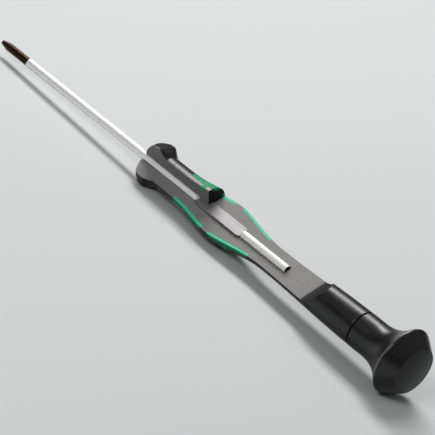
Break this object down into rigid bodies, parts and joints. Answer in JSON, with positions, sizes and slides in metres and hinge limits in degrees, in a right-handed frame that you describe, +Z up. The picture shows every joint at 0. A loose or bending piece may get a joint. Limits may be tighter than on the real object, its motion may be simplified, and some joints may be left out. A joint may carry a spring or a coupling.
{
  "type": "hex screwdriver",
  "caption": "Precision screwdriver shown cut open: winged steel blade with a cross tip, hexagonal nose, slim waisted handle with soft pads, and a flared turning cap.",
  "frame": {"origin": "on the tool's own axis where the blade leaves the front of the handle's nose", "axes": "+X along the tool from the tip to the turning cap; +Z up, with a flat of the hexagonal nose underneath, so the main section face looks up and 30 degrees towards -Y; +Y towards the side where the handle's upper quarter still stands"},
  "size_m": [0.1497, 0.0184, 0.0184],
  "materials": {
    "blade_steel": "satin chrome plate, bare ground wings, dark burnished tip",
    "handle_plastic": "satin black moulding outside, pale machined grey on the section faces",
    "pad_rubber": "soft green elastomer, matt, lighter where it is cut",
    "cap_plastic": "satin black moulding",
    "pin_steel": "ground steel",
    "clip_steel": "oiled black spring steel",
    "washer_nylon": "black slippery nylon",
    "bush_brass": "turned brass"
  },
  "bodies": {
    "handle": {"blade": "blade_steel", "handle_body": "handle_plastic", "front_pad_near": "pad_rubber", "front_pad_far": "pad_rubber", "front_pad_top": "pad_rubber", "front_pad_low_near": "pad_rubber", "front_pad_low_far": "pad_rubber", "rear_pad_near": "pad_rubber", "rear_pad_far": "pad_rubber", "rear_pad_low_near": "pad_rubber", "rear_pad_low_far": "pad_rubber", "axle_pin": "pin_steel", "slide_washer": "washer_nylon", "thrust_washer": "pin_steel", "retaining_clip": "clip_steel"},
    "cap": {"cap_body": "cap_plastic", "cap_bush": "bush_brass", "cap_cover": "cap_plastic"}
  },
  "joints": [
    {"name": "cap_spin", "type": "hinge", "parent": "handle", "child": "cap", "pos_m": [0.0822, 0, 0], "axis": [1, 0, 0], "continuous": true}
  ]
}
